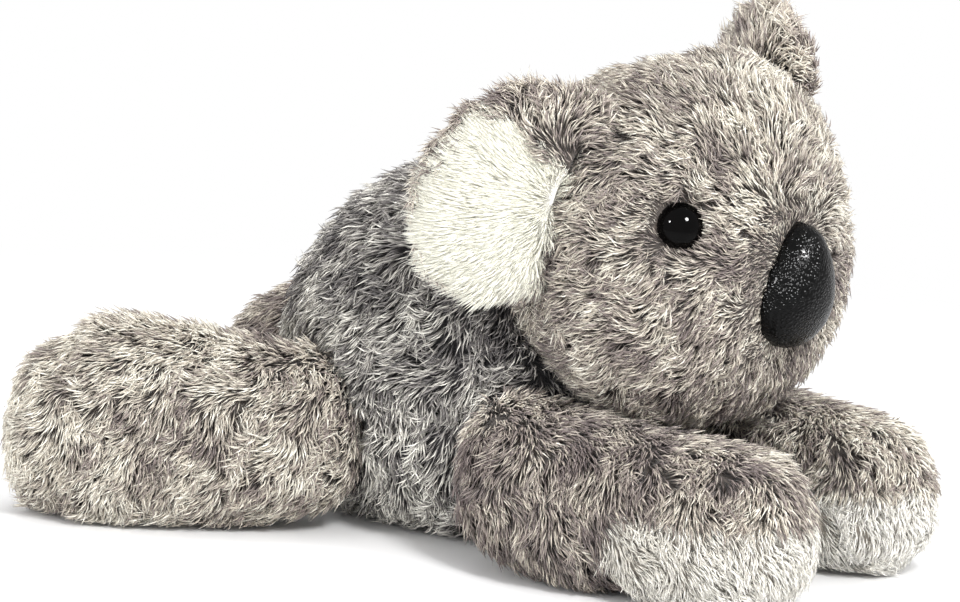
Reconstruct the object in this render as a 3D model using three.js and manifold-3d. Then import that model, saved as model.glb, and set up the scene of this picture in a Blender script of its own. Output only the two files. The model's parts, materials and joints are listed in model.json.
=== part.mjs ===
// A plush koala that lies on its belly: a stuffed torso and head, two ears, two arms, two legs,
// two safety eyes and a moulded nose. Millimetres, +Z up, the face looks along -Y and the animal's
// left side is +X. The origin lies on the floor, below the middle of the box round the whole toy.
import * as THREE from "three";
import { mergeVertices } from "three/addons/utils/BufferGeometryUtils.js";
import Module from "manifold-3d";

const wasm = await Module();
wasm.setup();

// Fabric, seams and seats
const coverThickness = 4; // long-pile fabric: its backing and the pile pressed over it
const seamGap = 0.3; // between two panels sewn edge to edge
const seatGap = 0.3; // between a piece and what carries it
const pivotGap = 0.7; // between a round root and its pocket
const sweepGap = 2; // between a moving piece and what it passes
const floorFlat = 0.5; // how deep the underside is pressed flat where it rests
const cutOverrun = 3; // how far a cutting tool runs past what it cuts
const mergeTolerance = 1e-4; // points closer than this are one point
const stuffedFullness = 2.2; // exponent of a stuffed section: 2 is an ellipse, more is squarer

// Torso
const torsoLength = 100;
const torsoWidth = 84;
const torsoHeight = 86;
const torsoRearY = 62;
const torsoSeamHeight = 34; // where the back panel meets the belly panel
const torsoPelletLength = 56;
const torsoPelletWidth = 30;
const torsoPelletHeight = 20;
// Along the length from the chest, half width, underside and back
const torsoShares = [
  { along: 0, wide: 0, low: 0.5, top: 0.5 },
  { along: 0.12, wide: 0.66, low: 0.16, top: 0.84 },
  { along: 0.32, wide: 0.92, low: 0.01, top: 0.98 },
  { along: 0.52, wide: 1, low: 0, top: 1 },
  { along: 0.72, wide: 0.88, low: 0, top: 0.96 },
  { along: 0.84, wide: 0.74, low: 0.02, top: 0.85 },
  { along: 0.94, wide: 0.48, low: 0.1, top: 0.63 },
  { along: 1, wide: 0, low: 0.36, top: 0.36 },
];

// Head
const headLength = 67;
const headWidth = 86;
const headHeight = 85;
const headBackY = -9.6;
const headCentreHeight = 77.5;
const headTurn = 9; // degrees that the head lies turned to its right
const headTilt = 5; // degrees that it lies tilted to its right
const neckBack = 20; // from the head's centre back to the neck's pivot
const neckDrop = 28; // from the head's centre down to the neck's pivot
const neckRadius = 20;
const earSeamBack = 8; // from the head's centre back to the seam that holds the ears
const headTurnRange = 18; // degrees to each side of straight ahead
const headNodRange = 12; // degrees up
// Along the length from the face, half width, underside and crown
const headShares = [
  { along: 0, wide: 0, low: 0.44, top: 0.44 },
  { along: 0.1, wide: 0.58, low: 0.17, top: 0.76 },
  { along: 0.28, wide: 0.88, low: 0.02, top: 0.96 },
  { along: 0.5, wide: 1, low: 0, top: 1 },
  { along: 0.72, wide: 0.9, low: 0.05, top: 0.95 },
  { along: 0.9, wide: 0.58, low: 0.22, top: 0.8 },
  { along: 1, wide: 0, low: 0.52, top: 0.52 },
];

// Ears
const earReach = 30;
const earHeight = 49;
const earThickness = 14;
const earRootDepth = 12; // how far the ear's form starts under the head's surface
const earSide = { left: 92, right: 97 }; // degrees from straight ahead round to the ear's root
const earRise = { left: 36, right: 23 }; // degrees that the root sits above the head's centre
const earSweep = { left: 58, right: 44 }; // degrees that the ear is swept back from straight out
const earLean = 15; // degrees that the ear's root leans towards the crown
const earDroop = 7; // how far the rim's middle hangs below the root's middle
const earSeamForward = 2.6; // how far in front of the ear's middle its two panels meet
const earSeamRise = 13; // how far above the ear's middle the front panel ends
const earSeamTilt = 26; // degrees that this end drops towards the root
const earFoldRange = 20; // degrees each way
// From the root outwards, half height and half thickness
const earShares = [
  { along: 0, wide: 0.6, high: 0.78 },
  { along: 0.25, wide: 0.9, high: 0.92 },
  { along: 0.5, wide: 1, high: 1 },
  { along: 0.78, wide: 0.84, high: 0.84 },
  { along: 1, wide: 0, high: 0 },
];

// Eyes and nose
const eyeDiameter = 10.6;
const eyeDome = 4.4; // how far the eye stands out from its flange
const eyeFlange = 0.9;
const eyeSink = 2; // how deep the eye is pressed into the pile
const eyeInset = 1.2; // how far the sewn face lies inside the round form that carries the eyes
const eyeSpread = { left: 62, right: 50 }; // degrees that an eye sits to the side of straight ahead
const eyeLift = 16; // degrees that an eye sits above the head's centre
const shankDiameter = 4;
const shankLength = 12;
const washerDiameter = 11;
const washerThickness = 1.6;
const washerHubDiameter = 6.6;
const washerHubLength = 1.6;
const noseWidth = 23;
const noseHeight = 30;
const noseBulge = 8;
const noseTaperShare = 0.3; // how much narrower the nose is at its top than at its middle
const noseRootDepth = 8; // how far the nose's form starts under the head's surface
const noseDrop = 11; // degrees that the nose sits below the head's centre
const noseLean = 6; // degrees that the nose's top leans to the animal's left

// Arms
const armLength = 72; // from the shoulder's pivot to the paw's tip
const armRootRadius = 16;
const shoulderHeight = 23;
const armWidth = 42;
const armHeight = 36;
const armToeIn = { left: 8, right: 8 }; // degrees in from straight ahead
const shoulderSpread = 36; // from the middle to each shoulder's pivot
const shoulderY = -24;
const armSpreadRange = 40; // degrees outwards from where the arm lies
const palmLength = 44; // the pale panel under the paw
const armPelletLength = 44;
const armPelletWidth = 24;
const armPelletHeight = 18;
// From the shoulder to the paw, half width, underside and top
const armShares = [
  { along: 0, wide: 0, low: 0.62, top: 0.62 },
  { along: 0.12, wide: 0.72, low: 0.2, top: 1.04 },
  { along: 0.32, wide: 0.9, low: 0.06, top: 1.06 },
  { along: 0.56, wide: 0.94, low: 0, top: 0.98 },
  { along: 0.78, wide: 1, low: 0.03, top: 0.97 },
  { along: 0.93, wide: 0.72, low: 0.15, top: 0.83 },
  { along: 1, wide: 0, low: 0.47, top: 0.47 },
];

// Legs
const legLength = 68; // from the hip's pivot to the foot's end
const legRootRadius = 17;
const hipHeight = 25;
const legWidth = 42;
const legHeight = 47;
const legSplay = { left: -4, right: 34 }; // degrees out from straight back
const hipSpread = 37; // from the middle to each hip's pivot
const hipY = 38;
const legSpreadRange = { least: -6, most: 50 }; // degrees out from straight back
const soleLength = 14; // the pale panel at the foot's end
const legPelletLength = 36;
const legPelletWidth = 24;
const legPelletHeight = 18;
// From the hip to the foot, half width, underside and top
const legShares = [
  { along: 0, wide: 0, low: 0.48, top: 0.48 },
  { along: 0.12, wide: 0.66, low: 0.16, top: 0.8 },
  { along: 0.34, wide: 0.88, low: 0.06, top: 0.92 },
  { along: 0.56, wide: 0.92, low: 0, top: 0.95 },
  { along: 0.78, wide: 1, low: 0, top: 1 },
  { along: 0.93, wide: 0.8, low: 0.04, top: 0.84 },
  { along: 1, wide: 0, low: 0.4, top: 0.4 },
];

// Facets
const bodyFacets = { outer: { around: 24, along: 14 }, inner: { around: 16, along: 8 } };
const limbFacets = { outer: { around: 16, along: 11 }, inner: { around: 10, along: 7 } };
const earFacets = { around: 16, along: 7 };
const ballFacets = 16;
const roundFacets = 16;
const bagFacets = 12;
const domeSteps = 4;
const sweepSteps = 3;

const degrees = Math.PI / 180;
const up = new THREE.Vector3(0, 0, 1);
const sideWays = new THREE.Vector3(1, 0, 0);
const backWays = new THREE.Vector3(0, 1, 0);
const sideSigns = { left: 1, right: -1 };

// Materials, as the photograph shows them
const greyFur = new THREE.MeshStandardMaterial({ color: 0x9a918a, roughness: 0.85 });
const backFur = new THREE.MeshStandardMaterial({ color: 0x7f7a77, roughness: 0.85 });
const whiteFur = new THREE.MeshStandardMaterial({ color: 0xf1f0e6, roughness: 0.8 });
const palmFur = new THREE.MeshStandardMaterial({ color: 0xdcd8cb, roughness: 0.85 });
const blackPlastic = new THREE.MeshStandardMaterial({ color: 0x0c0b0b, roughness: 0.12 });
const noseVinyl = new THREE.MeshStandardMaterial({ color: 0x161516, roughness: 0.4 });
const washerPlastic = new THREE.MeshStandardMaterial({ color: 0xe4e4e0, roughness: 0.5 });
const fibrefill = new THREE.MeshStandardMaterial({ color: 0xf6f6f4, roughness: 0.95 });
const pelletCloth = new THREE.MeshStandardMaterial({ color: 0xd8d3c6, roughness: 0.9 });

// Places that several pieces share
const torsoFrontY = torsoRearY - torsoLength;
const headFrontY = headBackY - headLength;
const headCentre = new THREE.Vector3(0, headBackY - headLength / 2, headCentreHeight);
const neckPivot = headCentre.clone().add(new THREE.Vector3(0, neckBack, -neckDrop));
const headPose = turnedAbout(neckPivot, up, -headTurn).multiply(
  turnedAbout(headCentre, backWays, -headTilt),
);
const innerDepth = coverThickness;
const fillingDepth = coverThickness + seatGap;
const farAway = torsoLength + headLength + armLength + legLength;

// Solids and meshes

function merged(geometry) {
  const plain = geometry.index ? geometry.toNonIndexed() : geometry.clone();
  plain.deleteAttribute("normal");
  plain.deleteAttribute("uv");
  const joined = mergeVertices(plain, mergeTolerance);
  joined.computeVertexNormals();
  return joined;
}

function solidOf(geometry) {
  const joined = merged(geometry);
  return new wasm.Manifold(
    new wasm.Mesh({
      numProp: 3,
      vertProperties: joined.attributes.position.array,
      triVerts: new Uint32Array(joined.index.array),
    }),
  );
}

function geometryOf(solid) {
  const mesh = solid.getMesh();
  const geometry = new THREE.BufferGeometry();
  geometry.setAttribute("position", new THREE.BufferAttribute(mesh.vertProperties, 3));
  geometry.setIndex(new THREE.BufferAttribute(mesh.triVerts, 1));
  geometry.computeVertexNormals();
  return geometry;
}

function boxSolid(low, high, matrix = new THREE.Matrix4()) {
  const size = new THREE.Vector3().subVectors(high, low);
  const middle = new THREE.Vector3().addVectors(low, high).multiplyScalar(1 / 2);
  const box = new THREE.BoxGeometry(size.x, size.y, size.z);
  box.translate(middle.x, middle.y, middle.z);
  return solidOf(box.applyMatrix4(matrix));
}

// Everything on one side of a plane: the side that its normal points to.
function halfSpace(point, normal) {
  const turn = new THREE.Quaternion().setFromUnitVectors(up, normal.clone().normalize());
  const matrix = new THREE.Matrix4().compose(point, turn, new THREE.Vector3(1, 1, 1));
  const low = new THREE.Vector3(-farAway, -farAway, 0);
  const high = new THREE.Vector3(farAway, farAway, farAway);
  return boxSolid(low, high, matrix);
}

function ballSolid(centre, radius) {
  const ball = new THREE.SphereGeometry(radius, ballFacets, ballFacets / 2);
  ball.rotateX(Math.PI / 2);
  return solidOf(ball.translate(centre.x, centre.y, centre.z));
}

// A closed skin over rings of points, with a pole at each end.
function skinOver(rings, firstPole, lastPole) {
  const around = rings[0].length;
  const points = [firstPole, ...rings.flat(), lastPole];
  const last = points.length - 1;
  const faces = [];
  const at = (ring, spoke) => 1 + ring * around + (spoke % around);
  for (let spoke = 0; spoke < around; spoke += 1) {
    faces.push(0, at(0, spoke + 1), at(0, spoke));
    faces.push(last, at(rings.length - 1, spoke), at(rings.length - 1, spoke + 1));
    for (let ring = 0; ring < rings.length - 1; ring += 1) {
      faces.push(at(ring, spoke), at(ring, spoke + 1), at(ring + 1, spoke + 1));
      faces.push(at(ring, spoke), at(ring + 1, spoke + 1), at(ring + 1, spoke));
    }
  }
  const geometry = new THREE.BufferGeometry().setFromPoints(points);
  geometry.setIndex(faces);
  geometry.computeVertexNormals();
  return geometry;
}

// A stuffed form through its stations, each with a middle, a half width and a half height. The
// squares of the half sizes are blended, so that the ends close round.
function stuffedForm(stations, { around, along }) {
  const middles = new THREE.CatmullRomCurve3(stations.map((s) => s.middle));
  const squares = new THREE.CatmullRomCurve3(
    stations.map((s) => new THREE.Vector3(s.wide ** 2, s.high ** 2, 0)),
  );
  const rings = [];
  for (let i = 1; i < along; i += 1) {
    const t = (1 - Math.cos((Math.PI * i) / along)) / 2;
    const side = new THREE.Vector3().crossVectors(up, middles.getTangent(t)).normalize();
    const square = squares.getPoint(t);
    const [wide, high] = [Math.sqrt(square.x), Math.sqrt(square.y)];
    rings.push(stuffedRing(middles.getPoint(t), side, wide, high, around));
  }
  return skinOver(rings, stations[0].middle, stations.at(-1).middle);
}

function stuffedRing(middle, side, wide, high, around) {
  const bulged = (value) => Math.sign(value) * Math.abs(value) ** (2 / stuffedFullness);
  return Array.from({ length: around }, (_, spoke) => {
    const angle = (spoke / around) * 2 * Math.PI;
    return middle
      .clone()
      .addScaledVector(side, wide * bulged(Math.cos(angle)))
      .addScaledVector(up, high * bulged(Math.sin(angle)));
  });
}

// A form twice: its outside, and a plainer one for the layers under it.
function formsThrough(stations, facets) {
  return { outer: stuffedForm(stations, facets.outer), inner: stuffedForm(stations, facets.inner) };
}

// The stations of a form that lies between two points on the floor.
function lyingStations(shares, start, end, width, height, lift = 0) {
  return shares.map((share) => {
    const middle = new THREE.Vector3().lerpVectors(start, end, share.along);
    middle.z = lift + ((share.low + share.top) / 2) * height;
    return {
      middle,
      wide: (share.wide * width) / 2,
      high: ((share.top - share.low) / 2) * height,
    };
  });
}

// A form at a depth under its outside.
function layerOf(forms, depth) {
  return depth > 0 ? drawnIn(forms.inner, depth) : forms.outer;
}

// The same form, drawn in by a depth all over; a depth below zero makes it larger.
function drawnIn(form, depth) {
  const inner = form.clone();
  const normals = form.attributes.normal;
  const place = new THREE.Vector3();
  const normal = new THREE.Vector3();
  for (let i = 0; i < normals.count; i += 1) {
    normal.fromBufferAttribute(normals, i);
    place.fromBufferAttribute(form.attributes.position, i).addScaledVector(normal, -depth);
    inner.attributes.position.setXYZ(i, place.x, place.y, place.z);
  }
  return inner;
}

function turnedAbout(pivot, axis, angle) {
  const there = new THREE.Matrix4().makeTranslation(pivot);
  const back = new THREE.Matrix4().makeTranslation(pivot.clone().negate());
  const turn = new THREE.Matrix4().makeRotationAxis(axis, angle * degrees);
  return there.multiply(turn).multiply(back);
}

function evenly(first, last, count) {
  return Array.from({ length: count }, (_, i) => first + ((last - first) * i) / (count - 1));
}

// All the room that a form takes as it goes through a list of poses.
function sweptSolid(form, poses) {
  const solids = poses.map((pose) => solidOf(form.clone().applyMatrix4(pose)));
  return solids.reduce((joined, next) => joined.add(next));
}

const group = new THREE.Group();

function addPiece(name, material, solid) {
  const mesh = new THREE.Mesh(geometryOf(solid), material);
  mesh.name = name;
  group.add(mesh);
}

const aboveFloor = halfSpace(new THREE.Vector3(), up);

// Forms of the torso and the head

const torsoStations = lyingStations(
  torsoShares,
  new THREE.Vector3(0, torsoFrontY, 0),
  new THREE.Vector3(0, torsoRearY, 0),
  torsoWidth,
  torsoHeight + floorFlat,
  -floorFlat,
);
const torsoForms = formsThrough(torsoStations, bodyFacets);

// The head looks straight ahead here, and headPose turns it with all that it carries.
const headStations = lyingStations(
  headShares,
  new THREE.Vector3(0, headFrontY, 0),
  new THREE.Vector3(0, headBackY, 0),
  headWidth,
  headHeight,
  headCentreHeight - headHeight / 2,
);
const straightHeads = formsThrough(headStations, bodyFacets);
const tilted = turnedAbout(headCentre, backWays, -headTilt);
const headForms = {
  outer: straightHeads.outer.clone().applyMatrix4(headPose),
  inner: straightHeads.inner.clone().applyMatrix4(headPose),
};

const headPoses = evenly(-headTurnRange, headTurnRange, sweepSteps).flatMap((turn) =>
  [0, -headNodRange].map((nod) =>
    turnedAbout(neckPivot, up, turn).multiply(turnedAbout(neckPivot, sideWays, nod)).multiply(tilted),
  ),
);

// Torso

const shoulderPivot = (sign) => new THREE.Vector3(sign * shoulderSpread, shoulderY, shoulderHeight);
const hipPivot = (sign) => new THREE.Vector3(sign * hipSpread, hipY, hipHeight);
const roots = Object.values(sideSigns).flatMap((sign) => [
  { radius: armRootRadius, pivot: shoulderPivot(sign) },
  { radius: legRootRadius, pivot: hipPivot(sign) },
]);

function torsoLayer(depth) {
  return solidOf(layerOf(torsoForms, depth)).subtract(
    sweptSolid(drawnIn(straightHeads.inner, -sweepGap - depth), headPoses),
  );
}

function withoutSockets(solid) {
  const sockets = roots.map(({ pivot, radius }) => ballSolid(pivot, radius + pivotGap));
  sockets.push(ballSolid(neckPivot, neckRadius + pivotGap));
  return sockets.reduce((rest, socket) => rest.subtract(socket), solid);
}

function pelletForm(middle, heading, length, width, height) {
  const ball = new THREE.SphereGeometry(1, bagFacets, bagFacets / 2);
  ball.scale(width / 2, length / 2, height / 2);
  const turn = new THREE.Quaternion().setFromUnitVectors(new THREE.Vector3(0, 1, 0), heading);
  return merged(ball.applyQuaternion(turn).translate(middle.x, middle.y, middle.z));
}

function addTorso() {
  const whole = torsoLayer(0).intersect(aboveFloor);
  const cover = withoutSockets(whole.subtract(torsoLayer(innerDepth)));
  const seam = new THREE.Vector3(0, 0, torsoSeamHeight);
  const down = up.clone().negate();
  const underSeam = seam.clone().addScaledVector(down, seamGap);
  addPiece("torso_back_panel", backFur, cover.intersect(halfSpace(seam, up)));
  addPiece("torso_belly_panel", greyFur, cover.intersect(halfSpace(underSeam, down)));

  const stuffing = withoutSockets(torsoLayer(fillingDepth));
  const middleY = (torsoFrontY + torsoRearY) / 2;
  const bag = pelletForm(
    new THREE.Vector3(0, middleY, coverThickness + torsoPelletHeight / 4),
    new THREE.Vector3(0, 1, 0),
    torsoPelletLength,
    torsoPelletWidth,
    torsoPelletHeight,
  );
  addPiece("torso_filling", fibrefill, stuffing.subtract(solidOf(drawnIn(bag, -seatGap))));
  addPiece("torso_pellet_bag", pelletCloth, stuffing.intersect(solidOf(bag)));
}

// Head

// The matrix that stands a piece on the head, its own +Z pointing straight out. The angles say how
// far it sits to the side of straight ahead and how far above the head's centre.
function outwardsFrom(side, lift) {
  return new THREE.Vector3(
    Math.sin(side * degrees) * Math.cos(lift * degrees),
    -Math.cos(side * degrees) * Math.cos(lift * degrees),
    Math.sin(lift * degrees),
  );
}

const headHalves = new THREE.Vector3(headWidth, headLength, headHeight).divideScalar(2);

function surfacePoint(direction) {
  const reach = 1 / direction.clone().divide(headHalves).length();
  return headCentre.clone().addScaledVector(direction, reach);
}

function standingOnHead(direction) {
  const zAxis = direction.clone().divide(headHalves).divide(headHalves).normalize();
  const xAxis = new THREE.Vector3().crossVectors(up, zAxis).normalize();
  const yAxis = new THREE.Vector3().crossVectors(zAxis, xAxis);
  const place = new THREE.Matrix4().makeBasis(xAxis, yAxis, zAxis);
  return place.setPosition(surfacePoint(direction)).premultiply(headPose);
}

function eyePlace(side) {
  const inset = new THREE.Matrix4().makeTranslation(0, 0, -eyeInset);
  return standingOnHead(outwardsFrom(sideSigns[side] * eyeSpread[side], eyeLift)).multiply(inset);
}

const eyePlaces = { left: eyePlace("left"), right: eyePlace("right") };
const noseTurn = new THREE.Matrix4().makeRotationZ(-noseLean * degrees);
const nosePlace = standingOnHead(outwardsFrom(0, -noseDrop)).multiply(noseTurn);

function latheSolid(points, matrix) {
  const lathe = new THREE.LatheGeometry(points, roundFacets);
  lathe.rotateX(Math.PI / 2);
  return solidOf(lathe.applyMatrix4(matrix));
}

function rodSolid(radius, low, high, matrix) {
  const profile = [
    new THREE.Vector2(0, low),
    new THREE.Vector2(radius, low),
    new THREE.Vector2(radius, high),
    new THREE.Vector2(0, high),
  ];
  return latheSolid(profile, matrix);
}

const shankRadius = shankDiameter / 2;
const washerTop = -coverThickness - seatGap;
const shankEnd = -eyeFlange - shankLength;
const flangeBack = -eyeSink - eyeFlange;

function eyeSolid(matrix) {
  const dome = evenly(0, 90, domeSteps + 1).map(
    (angle) =>
      new THREE.Vector2(
        (eyeDiameter / 2) * Math.cos(angle * degrees),
        eyeDome * Math.sin(angle * degrees) - eyeSink,
      ),
  );
  dome.at(-1).x = 0;
  const profile = [
    new THREE.Vector2(0, shankEnd),
    new THREE.Vector2(shankRadius, shankEnd),
    new THREE.Vector2(shankRadius, flangeBack),
    new THREE.Vector2(eyeDiameter / 2, flangeBack),
    ...dome,
  ];
  return latheSolid(profile, matrix);
}

function washerSolid(matrix) {
  const bore = shankRadius + seatGap;
  const faceEnd = washerTop - washerThickness;
  const hubEnd = faceEnd - washerHubLength;
  const profile = [
    new THREE.Vector2(bore, hubEnd),
    new THREE.Vector2(washerHubDiameter / 2, hubEnd),
    new THREE.Vector2(washerHubDiameter / 2, faceEnd),
    new THREE.Vector2(washerDiameter / 2, faceEnd),
    new THREE.Vector2(washerDiameter / 2, washerTop),
    new THREE.Vector2(bore, washerTop),
    new THREE.Vector2(bore, hubEnd),
  ];
  return latheSolid(profile, matrix);
}

// The room that an eye or the nose needs: its shank through the cover, its washer behind it.
function shankHole(matrix) {
  return rodSolid(shankRadius + seatGap, shankEnd - seatGap, cutOverrun, matrix);
}

function washerRoom(matrix) {
  return rodSolid(washerDiameter / 2 + seatGap, shankEnd - seatGap, -coverThickness, matrix);
}

function eyeRecess(matrix) {
  return rodSolid(eyeDiameter / 2 + seatGap, flangeBack - seatGap, cutOverrun, matrix);
}

// The nose in its own frame: an egg with its narrow end up, domed towards the viewer.
function noseForm() {
  const outline = (scale, out) =>
    Array.from({ length: roundFacets }, (_, spoke) => {
      const angle = (spoke / roundFacets) * 2 * Math.PI;
      const across = Math.cos(angle) * (1 - noseTaperShare * Math.sin(angle));
      return new THREE.Vector3(
        (scale * across * noseWidth) / 2,
        (scale * Math.sin(angle) * noseHeight) / 2,
        out,
      );
    });
  const domed = evenly(0, 90, domeSteps + 1)
    .slice(0, -1)
    .map((angle) => outline(Math.cos(angle * degrees), noseBulge * Math.sin(angle * degrees)));
  const rings = [outline(1, -noseRootDepth), ...domed];
  const back = new THREE.Vector3(0, 0, -noseRootDepth);
  const front = new THREE.Vector3(0, 0, noseBulge);
  return skinOver(rings, back, front);
}

function addHead() {
  const holes = [...Object.values(eyePlaces), nosePlace];
  const neckRoom = ballSolid(neckPivot, neckRadius + pivotGap);
  const inside = solidOf(layerOf(headForms, innerDepth));
  let cover = solidOf(headForms.outer).subtract(inside).subtract(neckRoom);
  let stuffing = solidOf(layerOf(headForms, fillingDepth)).subtract(neckRoom);
  for (const hole of holes) {
    cover = cover.subtract(shankHole(hole)).subtract(washerRoom(hole));
    stuffing = stuffing.subtract(shankHole(hole)).subtract(washerRoom(hole));
  }
  for (const eye of Object.values(eyePlaces)) {
    cover = cover.subtract(eyeRecess(eye));
  }
  const front = new THREE.Vector3(0, -1, 0).transformDirection(headPose);
  const middlePlane = headCentre.clone().applyMatrix4(headPose);
  const seam = middlePlane.clone().addScaledVector(front, -earSeamBack);
  const faceEdge = seam.clone().addScaledVector(front, seamGap);
  addPiece("head_back_panel", greyFur, cover.intersect(halfSpace(seam, front.clone().negate())));
  const face = cover.intersect(halfSpace(faceEdge, front));
  for (const [side, sign] of Object.entries(sideSigns)) {
    const outwards = new THREE.Vector3(sign, 0, 0).transformDirection(headPose);
    const middle = middlePlane.clone().addScaledVector(outwards, seamGap / 2);
    addPiece(`face_${side}_panel`, greyFur, face.intersect(halfSpace(middle, outwards)));
  }
  addPiece("head_filling", fibrefill, stuffing);
}

function addNeck() {
  addPiece("neck_stuffing", fibrefill, ballSolid(neckPivot, neckRadius));
}

function addEyes() {
  for (const [side, place] of Object.entries(eyePlaces)) {
    addPiece(`eye_${side}`, blackPlastic, eyeSolid(place));
    addPiece(`eye_${side}_washer`, washerPlastic, washerSolid(place));
  }
}

function addNose() {
  const shell = solidOf(noseForm().applyMatrix4(nosePlace));
  const seated = shell.subtract(solidOf(drawnIn(headForms.outer, -seatGap)));
  const shank = rodSolid(shankRadius, shankEnd, noseBulge / 2, nosePlace);
  addPiece("nose", noseVinyl, seated.add(shank));
  addPiece("nose_washer", washerPlastic, washerSolid(nosePlace));
}

// Ears

// An ear's own frame: X is the way its front looks, Y runs from the root to the rim and Z along the
// root, towards the crown on the left ear and away from it on the right.
function earFrame(side, sign) {
  const outwards = outwardsFrom(sign * earSide[side], earRise[side]);
  const swept = earSweep[side] * degrees;
  const reach = new THREE.Vector3(sign * Math.cos(swept), Math.sin(swept), 0);
  const front = new THREE.Vector3(sign * Math.sin(swept), -Math.cos(swept), 0);
  const lean = new THREE.Matrix4().makeRotationAxis(front, sign * earLean * degrees);
  reach.applyMatrix4(lean);
  const rootLine = new THREE.Vector3().crossVectors(front, reach);
  const frame = new THREE.Matrix4().makeBasis(front, reach, rootLine);
  return frame.setPosition(surfacePoint(outwards)).premultiply(headPose);
}

function earForm(frame, sign) {
  const stations = earShares.map((share) => ({
    middle: new THREE.Vector3(
      0,
      -earRootDepth + share.along * (earReach + earRootDepth),
      -sign * share.along * earDroop,
    ),
    wide: (share.wide * earThickness) / 2,
    high: (share.high * earHeight) / 2,
  }));
  const root = { middle: stations[0].middle.clone(), wide: 0, high: 0 };
  root.middle.y -= seatGap;
  return stuffedForm([root, ...stations], earFacets).applyMatrix4(frame);
}

function addEars() {
  for (const [side, sign] of Object.entries(sideSigns)) {
    const frame = earFrame(side, sign);
    const pivot = new THREE.Vector3().setFromMatrixPosition(frame);
    const [front, reach, hinge] = [0, 1, 2].map((i) => new THREE.Vector3().setFromMatrixColumn(frame, i));
    const folds = evenly(-earFoldRange, earFoldRange, sweepSteps);
    const head = sweptSolid(
      drawnIn(headForms.outer, -seatGap),
      folds.map((fold) => turnedAbout(pivot, hinge, fold)),
    );
    const ear = solidOf(earForm(frame, sign)).subtract(head);
    const crownWays = hinge.clone().multiplyScalar(sign);
    const tilt = new THREE.Matrix4().makeRotationAxis(front, sign * earSeamTilt * degrees);
    const middle = pivot.clone().addScaledVector(reach, earReach / 2);
    const rise = middle.addScaledVector(crownWays, earSeamRise);
    const down = crownWays.clone().applyMatrix4(tilt).negate();
    const frontEdge = pivot.clone().addScaledVector(front, earSeamForward);
    const room = halfSpace(frontEdge, front).intersect(halfSpace(rise, down));
    const inFront = halfSpace(frontEdge.clone().addScaledVector(front, seamGap), front);
    const below = halfSpace(rise.clone().addScaledVector(down, seamGap), down);
    addPiece(`ear_${side}_front_panel`, whiteFur, ear.intersect(inFront).intersect(below));
    addPiece(`ear_${side}_back_panel`, greyFur, ear.subtract(room));
  }
}

// Arms and legs

function limbLayers(limb) {
  const start = limb.pivot.clone().addScaledVector(limb.heading, -limb.rootRadius);
  const end = limb.pivot.clone().addScaledVector(limb.heading, limb.length);
  const stations = lyingStations(
    limb.shares,
    start,
    end,
    limb.width,
    limb.height + floorFlat,
    -floorFlat,
  );
  const forms = formsThrough(stations, limbFacets);
  const poses = limb.turns.map((turn) => turnedAbout(limb.pivot, up, -turn));
  return (depth) => {
    const passed = sweptSolid(drawnIn(torsoForms.inner, -sweepGap - depth), poses);
    return solidOf(layerOf(forms, depth)).subtract(passed);
  };
}

function addLimb(limb) {
  const layer = limbLayers(limb);
  const root = ballSolid(limb.pivot, limb.rootRadius);
  const cover = layer(0).add(root).intersect(aboveFloor).subtract(layer(innerDepth));
  const down = up.clone().negate();
  const seam = new THREE.Vector3(0, 0, limb.pivot.z);
  const underSeam = seam.clone().addScaledVector(down, seamGap);
  const upper = cover.intersect(halfSpace(seam, up));
  const under = cover.intersect(halfSpace(underSeam, down));
  const paleStart = limb.pivot.clone().addScaledVector(limb.heading, limb.length - limb.paleLength);
  const furStart = paleStart.clone().addScaledVector(limb.heading, -seamGap);
  const ahead = halfSpace(paleStart, limb.heading);
  const behind = halfSpace(furStart, limb.heading.clone().negate());
  if (limb.paleIsUnder) {
    addPiece(`${limb.name}_upper_panel`, greyFur, upper);
  } else {
    addPiece(`${limb.name}_upper_panel`, greyFur, upper.intersect(behind));
  }
  addPiece(`${limb.name}_under_panel`, greyFur, under.intersect(behind));
  const pale = (limb.paleIsUnder ? under : cover).intersect(ahead);
  addPiece(`${limb.name}_${limb.paleName}_panel`, palmFur, pale);

  const stuffing = layer(fillingDepth);
  const bagMiddle = limb.pivot
    .clone()
    .addScaledVector(limb.heading, limb.length - coverThickness - limb.pelletLength / 2);
  bagMiddle.z = coverThickness + limb.pelletHeight / 4;
  const bag = pelletForm(
    bagMiddle,
    limb.heading,
    limb.pelletLength,
    limb.pelletWidth,
    limb.pelletHeight,
  );
  addPiece(`${limb.name}_filling`, fibrefill, stuffing.subtract(solidOf(drawnIn(bag, -seatGap))));
  addPiece(`${limb.name}_pellet_bag`, pelletCloth, stuffing.intersect(solidOf(bag)));
}

function addArms() {
  for (const [side, sign] of Object.entries(sideSigns)) {
    addLimb({
      name: `arm_${side}`,
      pivot: shoulderPivot(sign),
      heading: new THREE.Vector3(0, -1, 0).applyAxisAngle(up, -sign * armToeIn[side] * degrees),
      rootRadius: armRootRadius,
      length: armLength,
      width: armWidth,
      height: armHeight,
      shares: armShares,
      turns: evenly(0, sign * armSpreadRange, sweepSteps),
      paleName: "palm",
      paleLength: palmLength,
      paleIsUnder: true,
      pelletLength: armPelletLength,
      pelletWidth: armPelletWidth,
      pelletHeight: armPelletHeight,
    });
  }
}

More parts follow.
